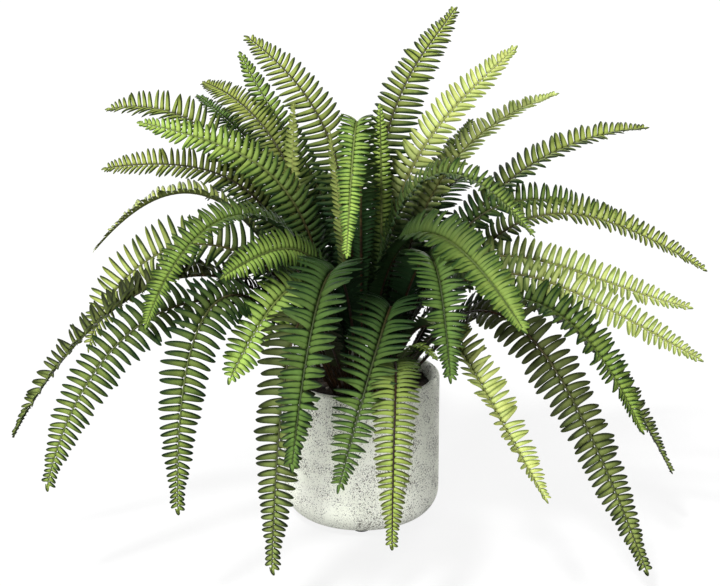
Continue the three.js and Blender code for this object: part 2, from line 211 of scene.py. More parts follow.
# Each frond has the azimuth and elevation in degrees at which its stem leaves the soil and
# how far it keeps that course, the place of its tip, the azimuth and elevation of its
# heading there and how far back it holds that heading, the turn of its blade about the rib
# and the fold of its leaflets below it in degrees, their longest reach, their pitch and their
# width as shares of the usual ones, how bluntly their reach ends towards the tip, and its tint.
FRONDS = {
    "frond_01": ((112, 87, 0.212), (-0.113, 0.060, 0.478), (152, 30, 0.120),
                 (-40, 10, 0.024), (1.1, 1.0, 4.5), "olive"),
    "frond_02": ((99, 76, 0.192), (-0.123, 0.130, 0.447), (150, 60, 0.120),
                 (-35, 10, 0.016), (1.3, 1.25, 5), "green"),
    "frond_03": ((136, 74, 0.160), (-0.164, 0.162, 0.410), (130, 3, 0.150),
                 (-35, 10, 0.019), (0.95, 1, 6), "olive"),
    "frond_04": ((121, 72, 0.165), (-0.174, 0.220, 0.383), (128, 15, 0.150),
                 (-20, 10, 0.018), (1, 1, 4), "deep_green"),
    "frond_05": ((161, 64, 0.150), (-0.255, 0.092, 0.397), (161, -13, 0.160),
                 (-38, -12, 0.020), (1.2, 1.0, 8), "olive"),
    "frond_06": ((176, 80, 0.215), (-0.217, 0.020, 0.401), (175, 12, 0.150),
                 (-50, 0, 0.020), (1.2, 1.15, 5), "bright"),
    "frond_07": ((168, 70, 0.163), (-0.257, 0.048, 0.347), (169, -11, 0.185),
                 (-45, -5, 0.018), (1.15, 1.0, 7), "olive"),
    "frond_08": ((182, 70, 0.208), (-0.262, 0.000, 0.277), (180, -50, 0.150),
                 (5, -15, 0.020), (1, 1, 4), "khaki"),
    "frond_09": ((208, 72, 0.230), (-0.267, -0.040, 0.188), (185, -75, 0.135),
                 (-42, -10, 0.0285), (1.15, 1.0, 4), "khaki"),
    "frond_10": ((207, 66, 0.218), (-0.337, -0.097, 0.117), (197, -60, 0.200),
                 (-25, -36, 0.0140), (1.3, 1.35, 3.5), "deep_olive"),
    "frond_11": ((210, 62, 0.200), (-0.293, -0.190, 0.101), (214, -75, 0.190),
                 (-40, 5, 0.026), (1.35, 1.2, 3), "forest"),
    "frond_12": ((222, 58, 0.220), (-0.168, -0.230, 0.095), (233, -90, 0.240),
                 (-45, 5, 0.026), (1.45, 1.3, 2.6), "forest"),
    "frond_13": ((205, 80, 0.240), (-0.201, -0.150, 0.246), (220, -65, 0.150),
                 (-20, -18, 0.017), (0.85, 1, 5), "green"),
    "frond_14": ((236, 78, 0.170), (-0.129, -0.150, 0.295), (220, -20, 0.100),
                 (-60, 0, 0.020), (1, 1.1, 5), "green"),
    "frond_15": ((240, 70, 0.160), (-0.122, -0.190, 0.207), (235, -45, 0.150),
                 (-30, -8, 0.021), (1.2, 1.35, 6), "bright"),
    "frond_16": ((140, 66, 0.150), (-0.066, 0.020, 0.420), (30, 88, 0.150),
                 (60, 10, 0.011), (1.4, 1.2, 4), "yellow"),
    "frond_17": ((270, 88, 0.300), (-0.014, -0.120, 0.306), (264, -60, 0.220),
                 (0, -18, 0.015), (1, 1, 3), "bright"),
    "frond_18": ((200, 86, 0.100), (-0.031, -0.015, 0.405), (150, 80, 0.100),
                 (0, 10, 0.010), (1.2, 1.1, 4), "yellow"),
    "frond_19": ((80, 86, 0.290), (0.094, 0.120, 0.494), (45, 42, 0.090),
                 (15, 10, 0.025), (1.1, 1.1, 4), "olive"),
    "frond_20": ((30, 85, 0.210), (0.152, 0.060, 0.467), (22, 38, 0.150),
                 (30, -10, 0.020), (1.2, 1.2, 5), "yellow"),
    "frond_21": ((28, 78, 0.190), (0.196, 0.100, 0.411), (27, 12, 0.130),
                 (10, -10, 0.019), (1.2, 1.2, 4.5), "yellow"),
    "frond_22": ((36, 66, 0.160), (0.289, 0.100, 0.376), (17, 0, 0.140),
                 (15, -10, 0.020), (1.25, 1.25, 6), "olive"),
    "frond_23": ((15, 70, 0.201), (0.291, 0.075, 0.271), (14, -28, 0.180),
                 (38, -10, 0.017), (1.25, 1.15, 5), "green"),
    "frond_24": ((0, 64, 0.219), (0.341, 0.005, 0.254), (1, -32, 0.190),
                 (35, -14, 0.016), (1.3, 1.2, 5), "khaki"),
    "frond_25": ((-14, 72, 0.230), (0.320, -0.040, 0.230), (-7, -12, 0.150),
                 (45, -10, 0.018), (1.35, 1.2, 4), "yellow"),
    "frond_26": ((-32, 68, 0.219), (0.326, -0.085, 0.192), (-10, -27, 0.170),
                 (45, -8, 0.019), (1.3, 1.2, 4), "yellow"),
    "frond_27": ((-70, 80, 0.205), (0.149, -0.180, 0.253), (-45, -45, 0.165),
                 (30, -20, 0.021), (0.8, 1.5, 4), "fresh"),
    "frond_28": ((-62, 85, 0.235), (0.164, -0.050, 0.307), (-15, -50, 0.140),
                 (20, -15, 0.018), (1, 0.95, 4), "fresh"),
    "frond_29": ((-44, 57, 0.225), (0.266, -0.214, 0.026), (-37, -64, 0.265),
                 (30, 5, 0.025), (1.3, 1.4, 2.6), "deep_olive"),
    "frond_30": ((-10, 54, 0.190), (0.307, -0.050, 0.062), (-9, -62, 0.200),
                 (20, -25, 0.016), (1.15, 1.15, 3), "deep_olive"),
    "frond_31": ((-30, 58, 0.180), (0.266, -0.130, 0.136), (-26, -63, 0.170),
                 (22, -20, 0.021), (1.1, 1.2, 3.5), "green"),
    "frond_32": ((-50, 64, 0.175), (0.168, -0.240, 0.111), (-46, -45, 0.175),
                 (-5, -30, 0.017), (1.15, 1.2, 4), "yellow"),
    "frond_33": ((-35, 74, 0.200), (0.081, -0.200, 0.214), (-80, -65, 0.150),
                 (10, -20, 0.022), (0.9, 1.15, 3.5), "deep_green"),
    "frond_34": ((-62, 68, 0.200), (-0.021, -0.265, 0.131), (-112, -50, 0.170),
                 (0, -22, 0.025), (1.1, 1.1, 3), "deep_green"),
    "frond_35": ((-62, 50, 0.060), (0.0714, -0.092, 0.196), (-46, -30, 0.050),
                 (0, 10, 0.012), (1, 1, 3), "bright"),
    "frond_36": ((-70, 50, 0.120), (0.027, -0.295, 0.088), (-92, -78, 0.190),
                 (0, 10, 0.021), (1.15, 1.1, 3), "pale"),
    "frond_37": ((-100, 74, 0.220), (-0.062, -0.275, 0.156), (-104, -65, 0.205),
                 (0, -22, 0.025), (1.1, 1.35, 3), "deep_green"),
    "frond_38": ((-112, 60, 0.215), (-0.082, -0.255, 0.045), (-105, -82, 0.250),
                 (0, 10, 0.029), (1.4, 1.4, 2.2), "deep_olive"),
    "frond_39": ((345, 84, 0.110), (0.018, 0.020, 0.420), (95, 80, 0.110),
                 (10, 10, 0.010), (1.2, 1.1, 4), "bright"),
    "frond_40": ((62, 74, 0.125), (0.114, 0.160, 0.370), (54, 30, 0.125),
                 (0, 10, 0.018), (1, 1, 4), "green"),
    "frond_41": ((50, 66, 0.180), (0.170, 0.210, 0.260), (51, -40, 0.180),
                 (0, 10, 0.022), (1, 1, 3.5), "deep_green"),
    "frond_42": ((75, 64, 0.190), (0.075, 0.275, 0.215), (75, -50, 0.190),
                 (0, 10, 0.022), (1, 1, 3.5), "olive"),
    "frond_43": ((100, 66, 0.190), (-0.050, 0.285, 0.235), (100, -45, 0.190),
                 (0, 10, 0.022), (1, 1, 3.5), "green"),
    "frond_44": ((125, 64, 0.180), (-0.165, 0.230, 0.265), (126, -40, 0.180),
                 (0, 10, 0.022), (1, 1, 3.5), "deep_green"),
    "frond_45": ((62, 52, 0.150), (0.117, 0.200, 0.172), (60, -50, 0.150),
                 (0, 10, 0.022), (1, 1, 3.5), "green"),
    "frond_46": ((90, 52, 0.175), (0.005, 0.290, 0.110), (89, -65, 0.175),
                 (0, 10, 0.022), (1, 1, 3.5), "deep_green"),
    "frond_47": ((108, 52, 0.150), (-0.067, 0.230, 0.151), (106, -50, 0.150),
                 (0, 10, 0.022), (1, 1, 3.5), "green"),
    "frond_48": ((140, 54, 0.150), (-0.156, 0.180, 0.179), (131, -50, 0.150),
                 (0, 10, 0.022), (1, 1, 3.5), "deep_green"),
    "frond_49": ((50, 60, 0.130), (0.145, 0.125, 0.205), (41, -50, 0.120),
                 (0, 10, 0.019), (1, 1, 3.5), "green"),
    "frond_50": ((97, 58, 0.120), (-0.026, 0.190, 0.176), (99, -58, 0.125),
                 (0, 10, 0.018), (1, 1, 3.5), "deep_green"),
    "frond_51": ((158, 55, 0.115), (-0.150, 0.080, 0.190), (150, -52, 0.118),
                 (0, 10, 0.018), (1, 1, 3.5), "deep_green"),
    "frond_52": ((22, 56, 0.120), (0.160, 0.045, 0.190), (14, -50, 0.120),
                 (0, 10, 0.019), (1, 1, 3.5), "deep_green"),
}


# Shapes

def add_object(name, data):
    """A new object of the scene for a mesh, light or camera."""
    thing = bpy.data.objects.new(name, data)
    bpy.context.scene.collection.objects.link(thing)
    return thing


def mesh_object(name, points, faces):
    """A new object with a mesh of these points and faces."""
    mesh = bpy.data.meshes.new(name)
    mesh.from_pydata(points, [], faces)
    return add_object(name, mesh)


def shade_smooth(mesh):
    """Shades a mesh as one smooth surface."""
    mesh.polygons.foreach_set("use_smooth", np.ones(len(mesh.polygons), bool))


def write_layer(mesh, name, kind, domain, values):
    """Writes a named value for each point, edge or face of a mesh."""
    field = "color" if kind == "FLOAT_COLOR" else "value"
    mesh.attributes.new(name, kind, domain).data.foreach_set(field, values)


def course(azimuth, elevation):
    """A unit vector at an azimuth and an elevation in degrees."""
    around, up = math.radians(azimuth), math.radians(elevation)
    return np.array((math.cos(up) * math.cos(around), math.cos(up) * math.sin(around), math.sin(up)))


def unit(vectors):
    """The same ways, as vectors of length 1."""
    return vectors / np.linalg.norm(vectors, axis=-1, keepdims=True)


def smooth(value, first, last):
    """0 at the first of two values and before it, 1 at the last and past it, smooth between."""
    t = np.clip((value - first) / (last - first), 0, 1)
    return t * t * (3 - 2 * t)


class Line:
    """The line of a frond's rib, and the way that its blade faces along it."""

    def __init__(self, row):
        (azimuth, launch, rise), tip, (heading, dip, fall), (self.roll, _, _), _, _ = row
        root = course(azimuth, 0) * (ROOT_NEAR + ROOT_SPREAD * (UPRIGHT - launch))
        root[2] = SOIL_HIGH.z + ROOT_LIFT
        tip = np.array(tip)
        self.points = (
            root,
            root + course(azimuth, launch) * rise,
            tip - course(heading, dip) * fall,
            tip,
        )
        steepness = (launch - LOW_LAUNCH) / (UPRIGHT - LOW_LAUNCH)
        self.bare = BARE_LOW + (BARE_UPRIGHT - BARE_LOW) * steepness
        outward = math.degrees(math.atan2(tip[1] - root[1], tip[0] - root[0]))
        self.level = course(outward - 90, 0)
        self.steps = np.linspace(0, 1, CURVE_STEPS + 1)
        gaps = np.linalg.norm(np.diff(self.place(self.steps), axis=0), axis=1)
        self.lengths = np.concatenate(([0], np.cumsum(gaps)))
        self.length = self.lengths[-1]
        self.blade_length = self.length * (1 - self.bare)

    def place(self, t):
        """Points of the curve from 0 at the root to 1 at the tip."""
        a, b, c, d = self.points
        t = t[:, None]
        return a * (1 - t) ** 3 + b * 3 * t * (1 - t) ** 2 + c * 3 * t * t * (1 - t) + d * t ** 3

    def slope(self, t):
        """The ways along the curve at these points."""
        a, b, c, d = self.points
        t = t[:, None]
        return (b - a) * (1 - t) ** 2 + (c - b) * 2 * t * (1 - t) + (d - c) * t * t

    def frame(self, share):
        """The places at these shares of the length, with the ways along, to the side and up."""
        t = np.interp(share * self.length, self.lengths, self.steps)
        along = unit(self.slope(t))
        side = unit(self.level - along * (along @ self.level)[:, None])
        turn = np.radians(self.roll) * smooth(share, ROLL_FROM, ROLL_TO)[:, None]
        side = side * np.cos(turn) + np.cross(along, side) * np.sin(turn)
        return self.place(t), along, side, np.cross(side, along)


def tube_faces(rings, sides):
    """Quads between neighbouring rings of a tube, facing out where a ring turns to the left."""
    faces = []
    for i in range(rings - 1):
        for j in range(sides):
            k = (j + 1) % sides
            faces.append((i * sides + j, i * sides + k, (i + 1) * sides + k, (i + 1) * sides + j))
    return faces


def rib_mesh(line):
    """The stem and the rib as one tube with a groove along its upper side."""
    count = max(RIB_RINGS_LEAST, round(line.length / RIB_STEP))
    share = np.linspace(0, 1, count)
    at, _, side, up = line.frame(share)
    radius = np.interp(share, (0, line.bare, 1), (STEM_RADIUS, RIB_RADIUS_START, RIB_RADIUS_END))

    # Two more rings take the stem straight down into the soil
    foot_side = unit(side[:1] * (1, 1, 0))
    foot_up = np.cross(foot_side, np.array([[0, 0, 1.0]]))
    foot = at[:1] - (0, 0, STEM_DEPTH + ROOT_LIFT)
    at = np.concatenate((foot, at[:1] - (0, 0, ROOT_LIFT), at))
    side = np.concatenate((foot_side, foot_side, side))
    up = np.concatenate((foot_up, foot_up, up))
    radius = np.concatenate((radius[:1], radius[:1], radius))
    share = np.concatenate(((0, 0), share))

    # The first point of each ring, on its upper side, is drawn in
    angles = np.arange(RIB_SIDES) * 2 * math.pi / RIB_SIDES + math.pi / 2
    groove = np.where(np.arange(RIB_SIDES) == 0, RIB_GROOVE, 1.0)
    ring = (
        side[:, None] * (np.cos(angles) * groove)[None, :, None]
        + up[:, None] * (np.sin(angles) * groove)[None, :, None]
    )
    points = at[:, None] + ring * radius[:, None, None]
    rings = len(at)
    faces = tube_faces(rings, RIB_SIDES)
    faces.append(tuple(reversed(range(RIB_SIDES))))
    faces.append(tuple((rings - 1) * RIB_SIDES + j for j in range(RIB_SIDES)))
    return points.reshape(-1, 3), faces, np.repeat(share, RIB_SIDES)


def half_width(t, outline):
    """Half a leaflet's width along one side, without its ear."""
    wide, loss, late, rounding = outline
    return np.clip(1 - t ** late, 0, 1) ** rounding * (wide - loss * t)


def leaflet_outline(t):
    """Half a leaflet's width on the side towards the frond's tip and on the other side."""
    ear = np.exp(-(((t - EAR_PLACE) / EAR_LENGTH) ** 2))
    front = half_width(t, FRONT_OUTLINE) + FRONT_EAR * ear
    back = half_width(t, BACK_OUTLINE) + BACK_EAR * ear
    return front, back


def leaflet_share(blade, blunt):
    """The reach of the leaflets along the blade, as a share of the longest. Below the blade's
    start, where the share of the blade is negative, they shrink quickly."""
    opening = np.sin(np.clip(blade / OPENING_LENGTH, 0, 1) * math.pi / 2)
    opening = OPENING_FIRST + (1 - OPENING_FIRST) * opening
    foot = np.clip(1 + blade * FOOT_SHRINK, FOOT_LEAST, 1)
    taper = np.clip(1 - np.clip(blade, 0, 1) ** blunt, 0, 1) ** TAPER_POWER
    return opening * foot * np.maximum(taper, LAST_SHARE)


def leaflet_places(line, reach, spacing, blunt):
    """The middles of the leaflet pairs, as shares of the blade, and the pitch at each."""
    places, pitches = [], []
    at = -line.bare * (1 - FIRST_ON_STEM) / (1 - line.bare)
    while at < BLADE_END:
        pitch = spacing * (PITCH_LEAST + PITCH_SHARE * reach * leaflet_share(at, blunt))
        places.append(at + 0.5 * pitch / line.blade_length)
        pitches.append(pitch)
        at += pitch / line.blade_length
    return np.array(places), np.array(pitches)


def leaflet_traits(line, row, hand, pairs, bias, draw):
    """What differs from leaflet to leaflet on one side of the rib. The last leaflet of the first
    side ends the frond."""
    _, _, _, (_, fold, reach), (_, breadth, blunt), _ = row
    places, pitches = pairs
    blade = np.minimum(places + hand * STAGGER * pitches / line.blade_length, BLADE_LAST)
    n = len(blade)
    arch = ARCH + ARCH_OF_FOLD * max(0, -fold)
    length = reach * leaflet_share(blade, blunt) * draw.uniform(*LENGTH_RANGE, n)
    lean = LEAN + LEAN_AT_TIP * np.clip(blade, 0, 1) ** LEAN_POWER + draw.normal(0, LEAN_SPREAD, n)
    bend = math.radians(fold) - math.atan(arch) + draw.normal(0, FOLD_SPREAD, n)
    if hand > 0:
        length[-1] = reach * LAST_LEAFLET
        lean[-1] = math.pi / 2
    twist = draw.normal(0, TWIST_SPREAD, n)
    width = (WIDTH_LEAST + WIDTH_SHARE * length) * breadth * draw.uniform(*WIDTH_RANGE, n)
    traits = {"blade": blade, "length": length, "lean": lean, "bend": bend, "twist": twist}
    traits["width"] = width
    traits["droop"] = arch + draw.uniform(*DROOP_RANGE, n)
    traits["sickle"] = draw.uniform(*SICKLE_RANGE, n)
    traits["cup"] = draw.uniform(*CUP_RANGE, n)
    traits["chance"] = bias + draw.uniform(0, LEAFLET_CHANCE, n)
    return traits


def leaflet_steps(steps):
    """Places along a leaflet, closer together towards its tip."""
    return 1 - (1 - np.arange(steps + 1) / steps) ** STEP_POWER


def leaflet_spots(steps):
    """For each point of a leaflet, its place along and across, and its mark."""
    t = leaflet_steps(steps)
    spots = [(t[j], 0.5 + 0.5 * across) for j in range(steps) for across, _ in LEAFLET_ROUND]
    marks = list(range(TIP_MARK)) * steps + [TIP_MARK]
    return spots + [(1.0, 0.5)], marks


def leaflet_faces(steps, hand):
    """The faces of one leaflet, and which of them are on its underside."""
    sides = len(LEAFLET_ROUND)
    faces = tube_faces(steps, sides)
    last = (steps - 1) * sides
    tip = steps * sides
    faces += [(last + j, last + (j + 1) % sides, tip) for j in range(sides)]
    below = [j % sides >= RIM_MARKS[1] for j in range(len(faces))] + [False]
    faces.append(tuple(reversed(range(sides))))
    if hand > 0:
        faces = [tuple(reversed(face)) for face in faces]
    return faces, below


def leaflet_points(line, hand, traits, steps):
    """The points of leaflets of one side: rings of eight points and a last one for each."""
    names = ("length", "lean", "bend", "twist", "width", "droop", "sickle", "cup")
    length, lean, bend, twist, width, droop, sickle, cup = (traits[name][:, None] for name in names)
    t = leaflet_steps(steps)
    front, back = leaflet_outline(t)

    # The way out from the rib, a little towards the light, and the ways across and up from it
    blade = traits["blade"]
    at, along, side, up = line.frame(line.bare + (1 - line.bare) * blade)
    out = unit(side * (hand * np.cos(bend) * np.cos(lean)) - up * np.sin(bend) + along * np.sin(lean))
    light = np.array((0, 0, TO_LIGHT)) * (1 - along[:, 2:] ** 2)
    out = unit(out + light * np.cos(lean))
    face = unit(up - out * np.sum(up * out, axis=1, keepdims=True))
    across = np.cross(face, out) * hand
    turn_cos, turn_sin = np.cos(twist), np.sin(twist)
    face, across = face * turn_cos - across * turn_sin, across * turn_cos + face * turn_sin

    rib = np.interp(blade, (0, 1), (RIB_RADIUS_START, RIB_RADIUS_END))
    root = at + side * (hand * rib * ROOT_IN_RIB)[:, None]
    sink = -droop * length * t ** 2
    forward = sickle * length * t ** 2
    thick = LEAFLET_THICK * (1 - LEAFLET_THINS * t)
    rings = []
    for place, lift in LEAFLET_ROUND:
        aside = place * width * 0.5 * (front if place > 0 else back)
        raised = lift * thick - cup * np.abs(place * aside)
        rings.append(
            root[:, None]
            + out[:, None] * (t * length)[..., None]
            + across[:, None] * (aside + forward)[..., None]
            + face[:, None] * (raised + sink)[..., None]
        )
    body = np.stack(rings, axis=2)[:, :-1]
    tips = root + out * length + across * (sickle * length) - face * (droop * length)
    return np.concatenate((body.reshape(len(blade), steps * TIP_MARK, 3), tips[:, None]), axis=1)


def leaflet_meshes(line, row, draw):
    """All the leaflets of a frond, a pair at each place."""
    _, _, _, (_, _, reach), (spacing, _, blunt), _ = row
    pairs = leaflet_places(line, reach, spacing, blunt)
    bias = draw.uniform(0, FROND_CHANCE)
    points, faces, leaf, under, marks = [], [], [], [], []
    for hand in (1, -1):
        traits = leaflet_traits(line, row, hand, pairs, bias, draw)
        full = traits["length"] >= SHORT_LEAFLET
        for chosen, steps in ((full, LEAFLET_STEPS), (~full, SHORT_STEPS)):
            some = {name: values[chosen] for name, values in traits.items()}
            one_faces, one_under = leaflet_faces(steps, hand)
            one_spots, one_marks = leaflet_spots(steps)
            blocks = leaflet_points(line, hand, some, steps)
            for block, chance, place in zip(blocks, some["chance"], some["blade"]):
                start = len(marks)
                points.append(block)
                faces += [tuple(start + v for v in face) for face in one_faces]
                under += one_under
                leaf += [(x, y, chance, max(place, 0)) for x, y in one_spots]
                marks += one_marks
    return np.concatenate(points), faces, leaf, under, marks


def mark_rims(mesh, marks):
    """Keeps the shading of a leaflet's two faces apart along its rim."""
    ends = np.zeros(len(mesh.edges) * 2, np.int32)
    mesh.edges.foreach_get("vertices", ends)
    pairs = marks[ends.reshape(-1, 2)]
    on_rim = np.isin(pairs, RIM_MARKS).all(axis=1)
    along_rim = (pairs[:, 0] == pairs[:, 1]) | (pairs == TIP_MARK).any(axis=1)
    write_layer(mesh, "sharp_edge", "BOOLEAN", "EDGE", on_rim & along_rim)


def frond_object(name, row, draw):
    """One frond: a closed rib and closed leaflets whose roots are sunk in it."""
    line = Line(row)
    rib_points, rib_faces, rib_share = rib_mesh(line)
    points, faces, leaf, under, marks = leaflet_meshes(line, row, draw)
    offset, ribs = len(rib_points), len(rib_faces)
    all_points = np.concatenate((rib_points, points)).tolist()
    all_faces = rib_faces + [tuple(offset + v for v in face) for face in faces]
    piece = mesh_object(name, all_points, all_faces)
    mesh = piece.data
    shade_smooth(mesh)
    slots = np.zeros(len(all_faces), np.int32)
    slots[:ribs] = 1
    mesh.polygons.foreach_set("material_index", slots)
    colours = np.concatenate((np.stack([rib_share] * 4, axis=1), np.array(leaf)))
    write_layer(mesh, "leaf", "FLOAT_COLOR", "POINT", colours.astype(np.float32).ravel())
    below = np.concatenate((np.zeros(ribs), np.array(under, float)))
    write_layer(mesh, "under", "FLOAT", "FACE", below.astype(np.float32))
    mark_rims(mesh, np.concatenate((np.full(offset, -1), marks)))
    return piece


def turned(name, profile, segments):
    """A closed body of revolution about Z. The profile starts and ends on the axis."""
    inner = profile[1:-1]
    angles = np.arange(segments) * 2 * math.pi / segments
    points = [(0, 0, profile[0][1])]
    for radius, height in inner:
        points += [(radius * math.cos(a), radius * math.sin(a), height) for a in angles]
    points.append((0, 0, profile[-1][1]))
    faces = []
    for j in range(segments):
        k = (j + 1) % segments
        faces.append((0, 1 + k, 1 + j))
        for i in range(len(inner) - 1):
            low, high = 1 + i * segments, 1 + (i + 1) * segments
            faces.append((low + j, low + k, high + k, high + j))
        top = 1 + (len(inner) - 1) * segments
        faces.append((top + j, top + k, len(points) - 1))
    piece = mesh_object(name, points, faces)
    shade_smooth(piece.data)
    return piece


def arc(radius_at, height_at, radius, start, end, steps):
    """Points of a profile on an arc between two angles in degrees, with its ends."""
    angles = np.radians(np.linspace(start, end, steps + 1))
    return [(radius_at + radius * math.cos(a), height_at + radius * math.sin(a)) for a in angles]


def straight(start, end, steps):
    """Points between two points of a profile, without its ends."""
    shares = np.arange(1, steps) / steps
    return [tuple(np.array(start) * (1 - s) + np.array(end) * s) for s in shares]


def pot_object():
    """The pot's wall and floor, round at the foot, at the lip and in the corner inside."""
    inner = POT_RADIUS - POT_WALL
    low, high = POT_LOW.z, POT_HIGH.z
    floor = SOIL_LOW.z
    lip = high - LIP_ROUND
    foot = arc(POT_RADIUS - POT_CORNER, low + POT_CORNER, POT_CORNER, -90, 0, POT_CORNER_STEPS)
    lip_out = arc(POT_RADIUS - LIP_ROUND, lip, LIP_ROUND, 0, 90, LIP_STEPS)
    lip_in = arc(inner + LIP_ROUND, lip, LIP_ROUND, 90, 180, LIP_STEPS)
    corner_at = (inner - INNER_CORNER, floor + INNER_CORNER)
    corner = arc(*corner_at, INNER_CORNER, 0, -90, INNER_CORNER_STEPS)
    profile = [(0, low), (POT_FLAT, low)] + foot
    profile += straight(foot[-1], lip_out[0], OUTER_WALL_STEPS) + lip_out + lip_in
    profile += straight(lip_in[-1], corner[0], INNER_WALL_STEPS) + corner + [(0, floor)]
    return turned("fern_pot", profile, POT_SEGMENTS)


def soil_waves(draw):
    """The waves of the soil's top, in random ways: height, turns along X and Y, and phase."""
    waves = []
    for share, length in SOIL_WAVES:
        for _ in range(WAVE_WAYS):
            angle = draw.uniform(0, 2 * math.pi)
            turns = 2 * math.pi / (length * draw.uniform(*WAVE_LENGTH_RANGE))
            way = (turns * math.cos(angle), turns * math.sin(angle))
            waves.append((SOIL_ROUGH * share / WAVE_CALM, way, draw.uniform(0, 2 * math.pi)))
    return waves


def soil_height(x, y, waves):
    """How far the soil's rough top is above its mean level."""
    height = 0
    for size, (a, b), phase in waves:
        height = height + size * np.sin(x * a + y * b + phase)
    return height


def soil_object(waves):
    """The filling of the pot: a smooth underside, and a clodded top that is level at the wall."""
    low, high = SOIL_LOW.z, SOIL_HIGH.z
    corner_at = (SOIL_RADIUS - INNER_CORNER, low + INNER_CORNER)
    side = arc(*corner_at, INNER_CORNER, -90, 0, INNER_CORNER_STEPS)
    rings = SOIL_RADIUS - np.arange(SOIL_RINGS) / SOIL_RINGS * SOIL_RADIUS
    profile = [(0, low), (SOIL_FLAT, low)] + side + [(r, high) for r in rings] + [(0, high)]
    piece = turned("fern_soil", profile, SOIL_SEGMENTS)
    mesh = piece.data
    co = np.zeros(len(mesh.vertices) * 3)
    mesh.vertices.foreach_get("co", co)
    co = co.reshape(-1, 3)
    top = co[:, 2] > high - TOP_WITHIN
    x, y = co[top, 0], co[top, 1]
    rough = smooth(np.hypot(x, y), SOIL_RADIUS, SOIL_RADIUS * LEVEL_FROM)
    co[top, 2] += soil_height(x, y, waves) * rough
    mesh.vertices.foreach_set("co", co.ravel())
    mesh.update()
    return piece


def icosphere():
    """The corners and triangles of a round lump."""
    ball = bmesh.new()
    bmesh.ops.create_icosphere(ball, subdivisions=2, radius=1)
    corners = np.array([v.co[:] for v in ball.verts])
    shell = [tuple(v.index for v in f.verts) for f in ball.faces]
    ball.free()
    return corners, shell


def crumb_points(corners, draw, waves):
    """One uneven lump at a random place on the soil."""
    reach = SOIL_RADIUS * CRUMB_FIELD * math.sqrt(draw.uniform(0, 1))
    angle = draw.uniform(0, 2 * math.pi)
    x, y = reach * math.cos(angle), reach * math.sin(angle)
    size = draw.uniform(*CRUMB_RANGE)
    if draw.uniform() < CRUMB_LARGE_CHANCE:
        size *= CRUMB_LARGE
    stretch = np.array([draw.uniform(*span) for span in CRUMB_STRETCHES])
    lumpy = 1 + draw.uniform(-CRUMB_LUMPY, CRUMB_LUMPY, (len(corners), 1))
    spin = draw.uniform(0, 2 * math.pi)
    cos, sin = math.cos(spin), math.sin(spin)
    turn = np.array(((cos, -sin, 0), (sin, cos, 0), (0, 0, 1)))
    z = SOIL_HIGH.z + soil_height(x, y, waves) + size * CRUMB_LIFT
    return (corners * lumpy * stretch * size) @ turn.T + (x, y, z)


def crumbs_object(draw, waves):
    """Crumbs of bark, fibre and a few grains of perlite, half sunk in the soil."""
    corners, shell = icosphere()
    points, faces, kind = [], [], []
    for _ in range(CRUMBS):
        start = len(kind)
        points.append(crumb_points(corners, draw, waves))
        faces += [tuple(start + v for v in face) for face in shell]
        kind += [draw.uniform(0, 1)] * len(corners)
    piece = mesh_object("fern_soil_crumbs", np.concatenate(points).tolist(), faces)
    write_layer(piece.data, "kind", "FLOAT", "POINT", np.array(kind, np.float32))
    return piece


def pad_object(node):
    """A round pad under the pot."""
    low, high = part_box(node)
    middle = (low + high) / 2
    radius = (high.x - low.x) / 2
    edge = (high.z - low.z) * PAD_ROUND
    profile = [(0, low.z), (radius * PAD_FLAT, low.z)]
    profile += arc(radius - edge, low.z + edge, edge, -90, 0, PAD_ROUND_STEPS)
    profile += [(radius, high.z - PAD_BEVEL), (radius - PAD_BEVEL, high.z), (0, high.z)]
    piece = turned("fern_" + node, profile, PAD_SEGMENTS)
    for vertex in piece.data.vertices:
        vertex.co.x += middle.x
        vertex.co.y += middle.y
    return piece


# Materials

class Value:
    """A number or a colour that a node gives. Sums with it are written like plain sums."""

    def __init__(self, nodes, socket):
        self.nodes = nodes
        self.socket = socket

    def __add__(self, other):
        return self.nodes.math("ADD", self, other)

    def __sub__(self, other):
        return self.nodes.math("SUBTRACT", self, other)

    def __rsub__(self, other):
        return self.nodes.math("SUBTRACT", other, self)

    def __mul__(self, other):
        return self.nodes.math("MULTIPLY", self, other)

    def __pow__(self, power):
        return self.nodes.math("POWER", self, power)

    def __abs__(self):
        return self.nodes.math("ABSOLUTE", self)


